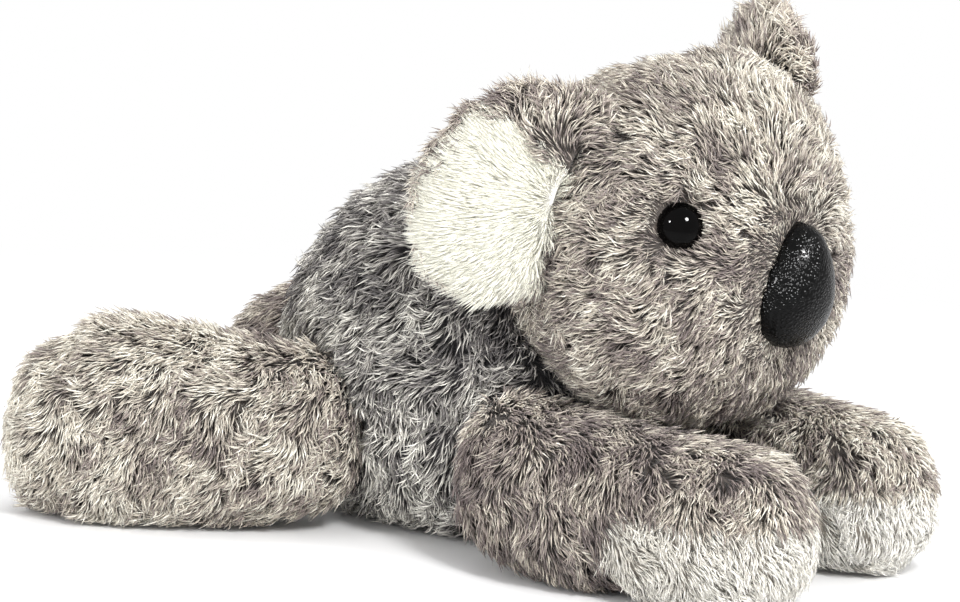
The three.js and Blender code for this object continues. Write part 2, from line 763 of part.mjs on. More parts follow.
function addLegs() {
  for (const [side, sign] of Object.entries(sideSigns)) {
    addLimb({
      name: `leg_${side}`,
      pivot: hipPivot(sign),
      heading: new THREE.Vector3(0, 1, 0).applyAxisAngle(up, -sign * legSplay[side] * degrees),
      rootRadius: legRootRadius,
      length: legLength,
      width: legWidth,
      height: legHeight,
      shares: legShares,
      turns: evenly(legSpreadRange.least, legSpreadRange.most, sweepSteps).map(
        (splay) => -sign * (splay - legSplay[side]),
      ),
      paleName: "sole",
      paleLength: soleLength,
      paleIsUnder: false,
      pelletLength: legPelletLength,
      pelletWidth: legPelletWidth,
      pelletHeight: legPelletHeight,
    });
  }
}

addTorso();
addNeck();
addHead();
addNose();
addEyes();
addEars();
addArms();
addLegs();

// The origin goes below the middle of the box round the toy.
const boxMiddle = new THREE.Box3().setFromObject(group).getCenter(new THREE.Vector3());
group.position.set(-boxMiddle.x, -boxMiddle.y, 0);

export default group;
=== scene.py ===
import json
import math

import bmesh
import bpy
import numpy as np
from mathutils import Matrix, Vector
from mathutils.bvhtree import BVHTree

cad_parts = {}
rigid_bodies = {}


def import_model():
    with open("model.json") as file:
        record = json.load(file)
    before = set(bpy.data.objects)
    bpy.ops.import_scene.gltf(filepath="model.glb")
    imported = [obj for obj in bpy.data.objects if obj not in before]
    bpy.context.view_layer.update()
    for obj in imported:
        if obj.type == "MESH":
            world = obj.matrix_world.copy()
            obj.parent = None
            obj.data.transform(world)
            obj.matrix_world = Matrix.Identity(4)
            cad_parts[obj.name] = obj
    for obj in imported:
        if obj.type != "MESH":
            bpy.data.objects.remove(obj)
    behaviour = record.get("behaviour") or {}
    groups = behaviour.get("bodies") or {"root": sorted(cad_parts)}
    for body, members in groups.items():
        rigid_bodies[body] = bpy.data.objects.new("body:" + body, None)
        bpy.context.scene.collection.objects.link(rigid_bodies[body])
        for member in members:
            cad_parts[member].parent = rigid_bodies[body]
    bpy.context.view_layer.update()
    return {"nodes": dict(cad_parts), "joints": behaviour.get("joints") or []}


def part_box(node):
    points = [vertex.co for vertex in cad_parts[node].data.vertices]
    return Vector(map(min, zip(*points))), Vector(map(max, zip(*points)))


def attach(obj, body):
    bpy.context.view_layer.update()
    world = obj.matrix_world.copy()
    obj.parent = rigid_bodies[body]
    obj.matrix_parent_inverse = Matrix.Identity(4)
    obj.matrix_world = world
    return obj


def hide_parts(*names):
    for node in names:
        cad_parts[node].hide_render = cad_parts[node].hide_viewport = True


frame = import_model()
nodes = frame["nodes"]
mm = 0.001


def placed(name, data):
    piece = bpy.data.objects.new(name, data)
    bpy.context.collection.objects.link(piece)
    return piece


def copyOf(sheet, name):
    return placed(name, sheet.data.copy())


def wear(piece, material):
    piece.data.materials.clear()
    piece.data.materials.append(material)


def pieceFrom(work, name):
    mesh = bpy.data.meshes.new(name)
    work.to_mesh(mesh)
    work.free()
    return placed(name, mesh)


def joinedCopy(name, members):
    work = bmesh.new()
    for member in members:
        work.from_mesh(nodes[member].data)
    bmesh.ops.remove_doubles(work, verts=work.verts, dist=0.00001)
    return pieceFrom(work, name)


def settled(*pieces):  # turns what the modifiers show into plain meshes
    graph = bpy.context.evaluated_depsgraph_get()
    made = [bpy.data.meshes.new_from_object(p.evaluated_get(graph), depsgraph=graph) for p in pieces]
    for piece, mesh in zip(pieces, made):
        piece.modifiers.clear()
        mesh.name = piece.name
        piece.data = mesh


def remeshed(piece, size, rounds):
    grid = piece.modifiers.new("Even faces", "REMESH")
    grid.mode = "VOXEL"
    grid.voxel_size = size
    soften = piece.modifiers.new("Soften", "SMOOTH")
    soften.factor = 0.5
    soften.iterations = rounds
    settled(piece)


def vectorsOf(mesh, field):
    flat = np.empty(len(mesh.vertices) * 3, np.float32)
    mesh.vertices.foreach_get(field, flat)
    return flat.reshape(-1, 3).astype(float)


def pointsOf(mesh):
    return vectorsOf(mesh, "co")


def normalsOf(mesh):
    return vectorsOf(mesh, "normal")


def setPoints(mesh, points):
    mesh.vertices.foreach_set("co", np.asarray(points, np.float32).ravel())
    mesh.update()


def storeFloat(mesh, name, values):
    layer = mesh.attributes.new(name, "FLOAT", "POINT")
    layer.data.foreach_set("value", np.asarray(values, np.float32))


def storeVector(mesh, name, values):
    layer = mesh.attributes.new(name, "FLOAT_VECTOR", "POINT")
    layer.data.foreach_set("vector", np.asarray(values, np.float32).ravel())


def treeOf(mesh):
    return BVHTree.FromPolygons(
        [v.co for v in mesh.vertices], [tuple(face.vertices) for face in mesh.polygons]
    )


def middleOf(*names):
    low = np.min([list(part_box(name)[0]) for name in names], axis=0)
    high = np.max([list(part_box(name)[1]) for name in names], axis=0)
    return (low + high) / 2


def unit(vectors):
    return vectors / np.maximum(np.linalg.norm(vectors, axis=-1, keepdims=True), 1e-9)


def shadeSmooth(mesh):
    mesh.polygons.foreach_set("use_smooth", np.ones(len(mesh.polygons), bool))


def newMaterial(name):
    material = bpy.data.materials.new(name)
    material.use_nodes = True
    tree = material.node_tree
    shader = tree.nodes["Principled BSDF"]
    return material, tree, shader


def addNode(tree, kind, **settings):
    node = tree.nodes.new(kind)
    for key, value in settings.items():
        setattr(node, key, value)
    return node


def linear(hexColour):
    parts = [((hexColour >> shift) & 255) / 255 for shift in (16, 8, 0)]
    return [p / 12.92 if p <= 0.04045 else ((p + 0.055) / 1.055) ** 2.4 for p in parts] + [1]


def ramp(tree, stops, source):
    node = addNode(tree, "ShaderNodeValToRGB")
    while len(node.color_ramp.elements) < len(stops):
        node.color_ramp.elements.new(0.5)
    for element, (place, colour) in zip(node.color_ramp.elements, stops):
        element.position = place
        element.color = linear(colour)
    tree.links.new(source, node.inputs["Fac"])
    return node.outputs["Color"]


def attribute(tree, name):
    return addNode(tree, "ShaderNodeAttribute", attribute_name=name).outputs["Fac"]


def mixColours(tree, share, first, second):
    node = addNode(tree, "ShaderNodeMix", data_type="RGBA")
    tree.links.new(share, node.inputs["Factor"])
    tree.links.new(first, node.inputs[6])
    tree.links.new(second, node.inputs[7])
    return node.outputs[2]


def smoothShare(tree, source, low, high):
    node = addNode(tree, "ShaderNodeMapRange", interpolation_type="SMOOTHSTEP")
    node.inputs["From Min"].default_value = low
    node.inputs["From Max"].default_value = high
    tree.links.new(source, node.inputs["Value"])
    return node.outputs["Result"]


# A strand's colour goes from its root to its tip, and its tone picks how light the strand is. The darker
# roots are partly painted shade between the strands, and the palest tips are partly painted highlight.
def pileMaterial(name, looks):
    material, tree, shader = newMaterial(name)
    tone = attribute(tree, "tone")
    along = attribute(tree, "along")
    roots = ramp(tree, looks["roots"], tone)
    tips = ramp(tree, looks["tips"], tone)
    share = smoothShare(tree, along, looks["from"], looks["to"])
    tree.links.new(mixColours(tree, share, roots, tips), shader.inputs["Base Color"])
    shader.inputs["Roughness"].default_value = looks["roughness"]
    shader.inputs["Specular IOR Level"].default_value = looks["shine"]
    shader.inputs["Sheen Weight"].default_value = looks["sheen"]
    shader.inputs["Sheen Roughness"].default_value = 0.4
    return material


def noiseOn(tree, scale, detail=3.0, roughness=0.6):
    place = addNode(tree, "ShaderNodeTexCoord")
    noise = addNode(tree, "ShaderNodeTexNoise")
    noise.inputs["Scale"].default_value = scale
    noise.inputs["Detail"].default_value = detail
    noise.inputs["Roughness"].default_value = roughness
    tree.links.new(place.outputs["Object"], noise.inputs["Vector"])
    return noise.outputs["Fac"]


def cellsOn(tree, scale):
    place = addNode(tree, "ShaderNodeTexCoord")
    cells = addNode(tree, "ShaderNodeTexVoronoi")
    cells.inputs["Scale"].default_value = scale
    tree.links.new(place.outputs["Object"], cells.inputs["Vector"])
    return cells.outputs["Distance"]


def bumpOn(tree, shader, height, strength, distance):
    bump = addNode(tree, "ShaderNodeBump")
    bump.inputs["Strength"].default_value = strength
    bump.inputs["Distance"].default_value = distance
    tree.links.new(height, bump.inputs["Height"])
    tree.links.new(bump.outputs["Normal"], shader.inputs["Normal"])


def clothMaterial(name, dark, light, knit):
    material, tree, shader = newMaterial(name)
    colour = ramp(tree, [(0.3, dark), (0.7, light)], noiseOn(tree, 90.0))
    tree.links.new(colour, shader.inputs["Base Color"])
    shader.inputs["Roughness"].default_value = 0.95
    shader.inputs["Sheen Weight"].default_value = 0.2
    bumpOn(tree, shader, cellsOn(tree, knit), 0.6, 0.0003)
    return material


def mouldedMaterial(name, looks):
    material, tree, shader = newMaterial(name)
    stops = [(0.35, looks["dark"]), (0.65, looks["light"])]
    tree.links.new(ramp(tree, stops, noiseOn(tree, 60.0)), shader.inputs["Base Color"])
    rough = addNode(tree, "ShaderNodeMapRange")
    rough.inputs["To Min"].default_value = looks["roughness"] - looks["spread"]
    rough.inputs["To Max"].default_value = looks["roughness"] + looks["spread"]
    tree.links.new(noiseOn(tree, 400.0), rough.inputs["Value"])
    tree.links.new(rough.outputs["Result"], shader.inputs["Roughness"])
    shader.inputs["Specular IOR Level"].default_value = looks["level"]
    if looks["pebbled"]:
        height = smoothShare(tree, cellsOn(tree, looks["grain"]), 0.7, 0.1)
    else:
        height = noiseOn(tree, looks["grain"], 2.0, 0.5)
    bumpOn(tree, shader, height, 0.9, looks["depth"])
    return material


greyPile = {"from": 0.15, "to": 0.85, "roughness": 0.55, "shine": 0.3, "sheen": 0.1}
# Root ramps are darker than tip ramps. This is partly the fur's own colour and partly painted shade between
# strands, and the palest tips are partly painted highlight.
pileLooks = {
    "headPile": greyPile | {
        "roots": [(0.0, 0x211C1C), (0.5, 0x443C39), (1.0, 0x7F7569)],
        "tips": [(0.0, 0x746866), (0.3, 0xA0948D), (0.65, 0xD6CDBD), (1.0, 0xFFFBEE)],
    },
    "torsoPile": greyPile | {
        "roots": [(0.0, 0x1A191B), (0.5, 0x373436), (1.0, 0x6B6663)],
        "tips": [(0.0, 0x5E5A5A), (0.35, 0x8E8986), (0.7, 0xCAC6BE), (1.0, 0xFBF8EE)],
    },
    "whitePile": {
        "roots": [(0.0, 0xF4F2E4), (1.0, 0xF6F4E6)],
        "tips": [(0.0, 0xF5F3E5), (1.0, 0xFAF8EA)],
        "from": 0.0, "to": 0.6, "roughness": 0.6, "shine": 0.2, "sheen": 0.15,
    },
    "palmPile": {
        "roots": [(0.0, 0x8C8378), (1.0, 0xB9B1A4)],
        "tips": [(0.0, 0xD2CDC2), (0.5, 0xEFECE3), (1.0, 0xFDFBF5)],
        "from": 0.0, "to": 0.7, "roughness": 0.55, "shine": 0.3, "sheen": 0.15,
    },
}
# The head's backing cloth and the torso's backing cloth are dark, as painted shade in the gaps between
# strands. The grey limbs and ear backs also wear the head's cloth, and the neck also wears the torso's.
clothLooks = {  # dark, light, and the knitted loops in a metre
    "headBacking": (0x3E3733, 0x5A514A, 1400.0),
    "torsoBacking": (0x2B292B, 0x403D3F, 1400.0),
    "whiteBacking": (0xF2F0E8, 0xFAF9F3, 1400.0),
    "palmBacking": (0xA39A8D, 0xBDB5A9, 1400.0),
    "fibre": (0xE6E6E3, 0xF8F8F6, 500.0),
    "pelletCloth": (0xC8C2B4, 0xDAD5C8, 1800.0),
}
mouldedLooks = {  # level is how strongly it mirrors; grain and depth are its texture
    "eyeGloss": {
        "dark": 0x030303, "light": 0x060505, "roughness": 0.05, "spread": 0.02, "level": 0.06,
        "grain": 300.0, "depth": 0.000004, "pebbled": False,
    },
    "noseSatin": {
        "dark": 0x020202, "light": 0x050505, "roughness": 0.2, "spread": 0.03, "level": 0.11,
        "grain": 1400.0, "depth": 0.00016, "pebbled": True,
    },
    "washerPlastic": {
        "dark": 0xD8D8D2, "light": 0xE8E8E4, "roughness": 0.5, "spread": 0.08, "level": 0.5,
        "grain": 700.0, "depth": 0.00003, "pebbled": False,
    },
}
materials = {name: pileMaterial(name, values) for name, values in pileLooks.items()}
materials |= {name: clothMaterial(name, *values) for name, values in clothLooks.items()}
materials |= {name: mouldedMaterial(name, values) for name, values in mouldedLooks.items()}
print("materials made:", len(materials))


eye = {  # metres, except the bevel's shares and the counts
    "radius": 5.3 * mm,
    "dome": 4.4 * mm,
    "flange": 0.9 * mm,
    "bevel": (0.96, 0.8),  # of the radius at the flange's back, and of the flange where it is full
    "shank": 2 * mm,
    "length": 12 * mm,
    "dimple": 11 * mm,  # how far from its middle the face is pressed in
    "depth": 12 * mm,  # how deep in the head that still counts
    "segments": 72,
    "rings": 24,
}
stuffing = {  # metres, except shares, counts and the cloth's settings
    "voxel": 0.0045,
    "rounds": 4,
    "flat": (0.5, 0.3),  # shares of voxel and drawIn for the ears, which hold no filling
    "drawIn": 0.0022,  # how far the fabric starts inside the solid before it is filled out
    "swell": 0.0024,  # the furthest that filling pushes the fabric back out
    "seamGrip": 0.003,  # how close to a seam the fabric is held
    "pressure": {"torso": 60.0, "head": 130.0, "arm": 260.0, "leg": 260.0},
    "mass": 0.002,
    "stretch": 0.02,
    "bending": 0.00001,
    "quality": 6,
    "frames": 20,
    "cloth": 0.0012,
}
bodies = {
    "torso": {
        "covers": ["torso_back_panel", "torso_belly_panel"],
        "inside": ["torso_filling", "torso_pellet_bag"],
    },
    "head": {
        "covers": ["head_back_panel", "face_left_panel", "face_right_panel"],
        "inside": ["head_filling", "nose_washer", "eye_left_washer", "eye_right_washer"],
    },
}
for side in ("left", "right"):
    bodies[f"ear_{side}"] = {"covers": [f"ear_{side}_front_panel", f"ear_{side}_back_panel"], "inside": []}
    for limb, pale in (("arm", "palm"), ("leg", "sole")):
        name = f"{limb}_{side}"
        bodies[name] = {
            "covers": [f"{name}_upper_panel", f"{name}_under_panel", f"{name}_{pale}_panel"],
            "inside": [f"{name}_filling", f"{name}_pellet_bag"],
        }


def startSkins():
    skins = {}
    for name, body in bodies.items():
        skin = joinedCopy(name + "_skin", body["covers"] + body["inside"])
        finer, shallower = stuffing["flat"] if name.startswith("ear") else (1, 1)
        remeshed(skin, stuffing["voxel"] * finer, stuffing["rounds"])
        depth = stuffing["drawIn"] * shallower
        setPoints(skin.data, pointsOf(skin.data) - normalsOf(skin.data) * depth)
        skins[name] = skin
    return skins


def nearestCover(trees, place):
    return sorted((tree.find_nearest(place)[3], index) for index, tree in enumerate(trees))


def holdSeams(skin, trees):
    grip = skin.vertex_groups.new(name="seams")
    for vertex in skin.data.vertices:
        first, second = nearestCover(trees, vertex.co)[:2]
        gap = second[0] - first[0]
        if gap < stuffing["seamGrip"]:
            grip.add([vertex.index], 1 - gap / stuffing["seamGrip"], "REPLACE")


def fillOut(skins, coverTrees):  # pressure from the filling, with the seams held
    starts = {name: pointsOf(skin.data) for name, skin in skins.items()}
    stuffed = {name: skin for name, skin in skins.items() if not name.startswith("ear")}
    for name, skin in stuffed.items():
        holdSeams(skin, coverTrees[name])
        cloth = skin.modifiers.new("Filling", "CLOTH")
        settings = cloth.settings
        settings.use_pressure = True
        settings.uniform_pressure_force = stuffing["pressure"][name.split("_")[0]]
        settings.mass = stuffing["mass"]
        settings.air_damping = settings.bending_damping = 0
        for pull in ("tension", "compression", "shear"):
            setattr(settings, pull + "_damping", 0)
            setattr(settings, pull + "_stiffness", stuffing["stretch"])
        settings.bending_stiffness = stuffing["bending"]
        settings.vertex_group_mass = "seams"
        settings.effector_weights.gravity = 0
        settings.quality = stuffing["quality"]
        cloth.point_cache.frame_start = 1
        cloth.point_cache.frame_end = stuffing["frames"]
    for step in range(1, stuffing["frames"] + 1):
        bpy.context.scene.frame_set(step)
    settled(*stuffed.values())
    bpy.context.scene.frame_set(1)
    for name, skin in stuffed.items():
        points = pointsOf(skin.data)
        moved = points - starts[name]
        far = np.linalg.norm(moved, axis=1, keepdims=True)
        moved *= np.minimum(1, stuffing["swell"] / np.maximum(far, 1e-9))
        setPoints(skin.data, starts[name] + moved)
        print(name, "filled out by", np.round(np.percentile(far, (25, 50, 75, 100)) / mm, 1), "mm")
    for skin in skins.values():
        finer = skin.modifiers.new("Finer", "SUBSURF")
        finer.levels = finer.render_levels = 1
        settled(skin)
        skin.vertex_groups.clear()


def eyeAxis(name):
    shape = pointsOf(nodes[name].data)
    shape = np.unique(np.round(shape, 6), axis=0)
    middle = shape.mean(axis=0)
    values, axes = np.linalg.eigh(np.cov((shape - middle).T))
    spread = [abs(values[i] - values[(i + 1) % 3]) for i in range(3)]
    twin = spread.index(min(spread))
    axis = axes[:, (twin + 2) % 3]
    return axis if axis @ (middle - middleOf("head_filling")) > 0 else -axis


# The middle of an eye's rim, and the way that the eye looks.
def eyeRim(name):
    shape = pointsOf(nodes[name].data)
    out = eyeAxis(name)
    middle = shape.mean(axis=0)
    return middle + out * ((shape @ out).max() - eye["dome"] - middle @ out), out


def pressAtEyes(skin):
    points = pointsOf(skin.data)
    for name in ("eye_left", "eye_right"):
        rim, out = eyeRim(name)
        away = points - rim
        rise = away @ out
        gap = np.linalg.norm(away - np.outer(rise, out), axis=1)
        share = np.clip((eye["dimple"] - gap) / (eye["dimple"] - eye["radius"]), 0, 1)
        share = share * share * (3 - 2 * share)
        share[np.abs(rise) > eye["depth"]] = 0
        points -= np.outer(np.maximum(rise + eye["flange"] * 0.5, 0) * share, out)
    setPoints(skin.data, points)


coverTrees = {
    name: [treeOf(nodes[cover].data) for cover in body["covers"]] for name, body in bodies.items()
}
skins = startSkins()
print("skins started:", {name: len(skin.data.vertices) for name, skin in skins.items()})
fillOut(skins, coverTrees)
pressAtEyes(skins["head"])


def coverFaces(skin, trees):  # which cover each face of the skin belongs to
    return np.array([nearestCover(trees, face.center)[0][1] for face in skin.data.polygons])


# One cover of a skin, as an open sheet with the skin's own normals kept.
def coverSheet(skin, chosen, name):
    work = bmesh.new()
    work.from_mesh(skin.data)
    work.faces.ensure_lookup_table()
    spare = [face for face, keep in zip(work.faces, chosen) if not keep]
    bmesh.ops.delete(work, geom=spare, context="FACES")
    sheet = pieceFrom(work, name)
    shadeSmooth(sheet.data)
    return sheet


def thickened(sheet, name):
    piece = copyOf(sheet, name)
    wall = piece.modifiers.new("Cloth thickness", "SOLIDIFY")
    wall.thickness = stuffing["cloth"]
    wall.offset = -1
    settled(piece)
    return piece


strand = {  # shares of a strand's length, except counts and degrees
    "ring": 0.66,  # where the strand is fullest
    "sides": 3,
    "grey": {"radius": 0.028, "thickness": 1.0, "bends": (45, 65, 85)},
    "silky": {"radius": 0.03, "thickness": 0.4, "bends": (12, 20, 30)},
    "sway": 0.08, "swayRate": 3,
}


def makeStrand(name, section, bend):  # one unit long, rising along Z and bending towards X
    total = math.radians(bend)

    def onCurve(rise):
        lean = total * rise
        sway = strand["sway"] * math.sin(strand["swayRate"] * rise)
        return Vector(((1 - math.cos(lean)) / total, sway, math.sin(lean) / total))

    lean = total * strand["ring"]
    across = Vector((math.cos(lean), 0, -math.sin(lean)))
    points = [onCurve(0)]
    for side in range(strand["sides"]):
        turn = 2 * math.pi * side / strand["sides"] + math.pi / 6
        offset = across * math.cos(turn) * section["thickness"] + Vector((0, math.sin(turn), 0))
        points.append(onCurve(strand["ring"]) + offset * section["radius"])
    points.append(onCurve(1))
    faces = []
    for side in range(strand["sides"]):
        a, b = 1 + side, 1 + (side + 1) % strand["sides"]
        faces += [(0, b, a), (a, b, len(points) - 1)]
    mesh = bpy.data.meshes.new(name)
    mesh.from_pydata(points, [], faces)
    shadeSmooth(mesh)
    storeFloat(mesh, "along", [0] + [strand["ring"]] * strand["sides"] + [1])
    storeFloat(mesh, "rail", [1] + list(range(strand["sides"])) + [1])
    return bpy.data.objects.new(name, mesh)


def strandSet(name, section):
    group = bpy.data.collections.new(name)
    bpy.context.scene.collection.children.link(group)
    for number, bend in enumerate(section["bends"]):
        group.objects.link(makeStrand(f"{name}_{number}", section, bend))
    return group


class NodeTree:
    def __init__(self, name, inputs):
        self.tree = bpy.data.node_groups.new(name, "GeometryNodeTree")
        self.tree.interface.new_socket("Geometry", in_out="INPUT", socket_type="NodeSocketGeometry")
        self.ids = {}
        for label, kind, value in inputs:
            socket = self.tree.interface.new_socket(label, in_out="INPUT", socket_type="NodeSocket" + kind)
            if value is not None:
                socket.default_value = value
            self.ids[label] = socket.identifier
        self.tree.interface.new_socket("Geometry", in_out="OUTPUT", socket_type="NodeSocketGeometry")
        self.source = self.tree.nodes.new("NodeGroupInput")
        self.sink = self.tree.nodes.new("NodeGroupOutput")

    def node(self, kind, links=None, **settings):
        node = self.tree.nodes.new(kind)
        for key, value in settings.items():
            setattr(node, key, value)
        for key, value in (links or {}).items():
            self.join(value, node.inputs[key])
        return node

    def join(self, value, socket):
        if isinstance(value, bpy.types.NodeSocket):
            self.tree.links.new(value, socket)
        else:
            socket.default_value = value

    def given(self, label):
        return self.source.outputs[label]

    def sum(self, operation, *values):
        return self.node("ShaderNodeMath", dict(enumerate(values)), operation=operation).outputs[0]

    def vector(self, operation, *values):
        node = self.node("ShaderNodeVectorMath", dict(enumerate(values)), operation=operation)
        return node.outputs["Value" if operation in ("DOT_PRODUCT", "LENGTH") else "Vector"]

    def scaled(self, vector, share):
        node = self.node("ShaderNodeVectorMath", {0: vector, "Scale": share}, operation="SCALE")
        return node.outputs["Vector"]

    def stored(self, geometry, name, value, kind="FLOAT"):
        node = self.node(
            "GeometryNodeStoreNamedAttribute",
            {"Geometry": geometry, "Name": name},
            data_type=kind,
            domain="POINT",
        )
        self.join(value, node.inputs["Value"])
        return node.outputs["Geometry"]

    def named(self, name, kind="FLOAT"):
        node = self.node("GeometryNodeInputNamedAttribute", {"Name": name}, data_type=kind)
        return node.outputs["Attribute"]

    def random(self, low, high, salt, kind="FLOAT"):
        node = self.node("FunctionNodeRandomValue", data_type=kind)
        inputs = [s for s in node.inputs if s.enabled]
        inputs[0].default_value, inputs[1].default_value = low, high
        self.join(self.sum("ADD", self.given("Seed"), salt), node.inputs["Seed"])
        return next(s for s in node.outputs if s.enabled)


pileRules = {  # angles in radians
    "bare": 0.12,  # nothing grows where there is less room than this
    "ragged": 1.2,  # how far a tuft's edge wanders, in sizes of a tuft
    "steep": 0.6,  # strands rise where less of the flow than this lies along the cloth
    "swirlTurn": 6.0, "tuftTurn": 2.0, "lift": (0.8, 1.2), "roll": (-0.5, 0.5),
    "patchTone": 3.0, "fineTone": 1.8,
}
fur = {  # what the covers have in common; lengths in metres
    "Closest roots": 0.0004, "Length": 0.0068, "Length spread": 0.22, "Lift": 1.0,
    "Swirl": 0.8, "Swirl size": 0.009, "Tuft": 0.5, "Tuft size": 0.004, "Clump": 0.3, "Stray": 0.16,
    "Patch": 0.5, "Patch size": 0.011, "Speckle": 0.34,
}


# Each cloud has its own shift and each draw its own salt, so that none repeats another.
def pileTree():
    inputs = [("Strands per square metre", "Float", 6.0e7)]
    inputs += [(label, "Float", value) for label, value in fur.items()]
    inputs += [("Seed", "Int", 1), ("Strands", "Collection", None), ("Material", "Material", None)]
    t = NodeTree("Pile", inputs)
    room = t.named("room")
    spread = t.node(
        "GeometryNodeDistributePointsOnFaces",
        {"Mesh": t.given("Geometry")},
        distribute_method="POISSON",
    )
    t.join(t.given("Closest roots"), spread.inputs["Distance Min"])
    t.join(t.given("Strands per square metre"), spread.inputs["Density Max"])
    t.join(t.sum("GREATER_THAN", room, pileRules["bare"]), spread.inputs["Density Factor"])
    t.join(t.given("Seed"), spread.inputs["Seed"])
    place = t.node("GeometryNodeInputPosition").outputs[0]
    points = t.stored(spread.outputs["Points"], "outwards", spread.outputs["Normal"], "FLOAT_VECTOR")
    normal = t.vector("NORMALIZE", t.named("outwards", "FLOAT_VECTOR"))

    def cloud(size, shift, detail):
        moved = t.vector("ADD", place, (shift, shift * 0.7, -shift))
        scale = t.sum("DIVIDE", 1.0, size)
        return t.node("ShaderNodeTexNoise", {"Vector": moved, "Scale": scale, "Detail": detail})

    def wave(label, shift, detail=1.0):
        return t.sum("SUBTRACT", cloud(t.given(label), shift, detail).outputs["Fac"], 0.5)

    grey = (0.5, 0.5, 0.5)
    drift = t.vector("SUBTRACT", cloud(t.given("Tuft size"), 5.3, 1.0).outputs["Color"], grey)
    wander = t.sum("MULTIPLY", t.given("Tuft size"), pileRules["ragged"])
    ragged = t.vector("ADD", place, t.scaled(drift, wander))
    cellScale = t.sum("DIVIDE", 1.0, t.given("Tuft size"))
    tuft = t.node("ShaderNodeTexVoronoi", {"Vector": ragged, "Scale": cellScale})
    tint = t.vector("SUBTRACT", tuft.outputs["Color"], grey)
    own = t.vector("DOT_PRODUCT", tint, (1.0, 0.0, 0.0))
    swirl = t.sum("MULTIPLY", t.given("Swirl"), pileRules["swirlTurn"])
    angle = t.sum("MULTIPLY", wave("Swirl size", 3.1), swirl)
    tuftTurn = t.sum("MULTIPLY", t.given("Tuft"), pileRules["tuftTurn"])
    angle = t.sum("ADD", angle, t.sum("MULTIPLY", own, tuftTurn))
    angle = t.sum("ADD", angle, t.sum("MULTIPLY", t.random(-1.0, 1.0, 11), t.given("Stray")))

    flow = t.named("flow", "FLOAT_VECTOR")
    flat = t.vector("SUBTRACT", flow, t.scaled(normal, t.vector("DOT_PRODUCT", flow, normal)))
    strength = t.vector("LENGTH", flat)
    share = t.sum("MINIMUM", t.sum("DIVIDE", strength, pileRules["steep"]), 1.0)
    flat = t.node(
        "ShaderNodeVectorRotate",
        {"Vector": t.vector("NORMALIZE", flat), "Axis": normal, "Angle": angle},
        rotation_type="AXIS_ANGLE",
    ).outputs["Vector"]
    inwards = t.scaled(t.vector("SUBTRACT", tuft.outputs["Position"], ragged), cellScale)
    leaning = t.vector("ADD", t.scaled(flat, share), t.scaled(inwards, t.given("Clump")))
    lift = t.sum("MULTIPLY", t.given("Lift"), t.random(*pileRules["lift"], 12))
    heading = t.vector("NORMALIZE", t.vector("ADD", t.scaled(normal, lift), leaning))
    turn = t.node("FunctionNodeAlignRotationToVector", {"Vector": heading}, axis="Z")
    turn = t.node(
        "FunctionNodeAlignRotationToVector",
        {"Rotation": turn.outputs[0], "Vector": flat},
        axis="X",
        pivot_axis="Z",
    )
    angles = t.node("ShaderNodeCombineXYZ", {"Z": t.random(*pileRules["roll"], 13)})
    roll = t.node("FunctionNodeEulerToRotation", {0: angles.outputs[0]})
    turn = t.node(
        "FunctionNodeRotateRotation",
        {"Rotation": turn.outputs[0], "Rotate By": roll.outputs[0]},
        rotation_space="LOCAL",
    )
    patchTone = t.sum("MULTIPLY", t.given("Patch"), pileRules["patchTone"])
    tone = t.sum("MULTIPLY", wave("Patch size", 7.7, 2.0), patchTone)
    speckle = t.sum("MULTIPLY", t.random(-1.0, 1.0, 14), t.given("Speckle"))
    fineTone = t.sum("MULTIPLY", t.given("Patch"), pileRules["fineTone"])
    speckle = t.sum("ADD", speckle, t.sum("MULTIPLY", wave("Tuft size", 9.1), fineTone))
    tone = t.sum("ADD", t.sum("ADD", t.named("shade"), tone), speckle)
    points = t.stored(points, "tone", t.sum("MINIMUM", t.sum("MAXIMUM", tone, 0.0), 1.0))
    long = t.sum("ADD", 1.0, t.sum("MULTIPLY", t.random(-1.0, 1.0, 15), t.given("Length spread")))
    long = t.sum("MULTIPLY", t.sum("MULTIPLY", t.given("Length"), long), room)
    size = t.node("ShaderNodeCombineXYZ", {"X": long, "Y": long, "Z": long}).outputs[0]
    source = t.node("GeometryNodeCollectionInfo", {"Collection": t.given("Strands")})
    source.inputs["Separate Children"].default_value = True
    source.inputs["Reset Children"].default_value = True
    strands = t.node(
        "GeometryNodeInstanceOnPoints",
        {"Points": points, "Rotation": turn.outputs[0], "Scale": size},
    )
    t.join(source.outputs[0], strands.inputs["Instance"])
    strands.inputs["Pick Instance"].default_value = True
    t.join(t.random(0, len(strand["grey"]["bends"]) - 1, 16, "INT"), strands.inputs["Instance Index"])
    real = t.node("GeometryNodeRealizeInstances", {"Geometry": strands.outputs[0]}).outputs[0]
    dressed = t.node("GeometryNodeSetMaterial", {"Geometry": real, "Material": t.given("Material")})
    t.tree.links.new(dressed.outputs[0], t.sink.inputs[0])
    return t


strandSets = {name: strandSet(name + "Strands", strand[name]) for name in ("grey", "silky")}
pileNodes = pileTree()


def grownPile(sheet, name, look, seed):
    piece = copyOf(sheet, name)
    grow = piece.modifiers.new("Pile", "NODES")
    grow.node_group = pileNodes.tree
    for label, value in look["values"].items():
        grow[pileNodes.ids[label]] = value
    grow[pileNodes.ids["Seed"]] = seed
    grow[pileNodes.ids["Strands"]] = strandSets[look["strands"]]
    grow[pileNodes.ids["Material"]] = materials[look["pile"]]
    settled(piece)
    for spare in ("flow", "room", "shade", "outwards"):
        if spare in piece.data.attributes:
            piece.data.attributes.remove(piece.data.attributes[spare])
    liftOffFloor(piece.data)
    mapStrands(piece.data)
    return piece


def liftOffFloor(mesh, soft=1.4 * mm, least=0.25 * mm):  # strands under the toy are pressed flat
    points = pointsOf(mesh)
    low = points[:, 2] < soft
    points[low, 2] = least + (soft - least) * np.exp((points[low, 2] - soft) / (soft - least))
    setPoints(mesh, points)


strandMap = {"u": (0.03, 0.94), "v": (0.02, 0.96), "rail": 0.012}  # start, span and a rail's offset


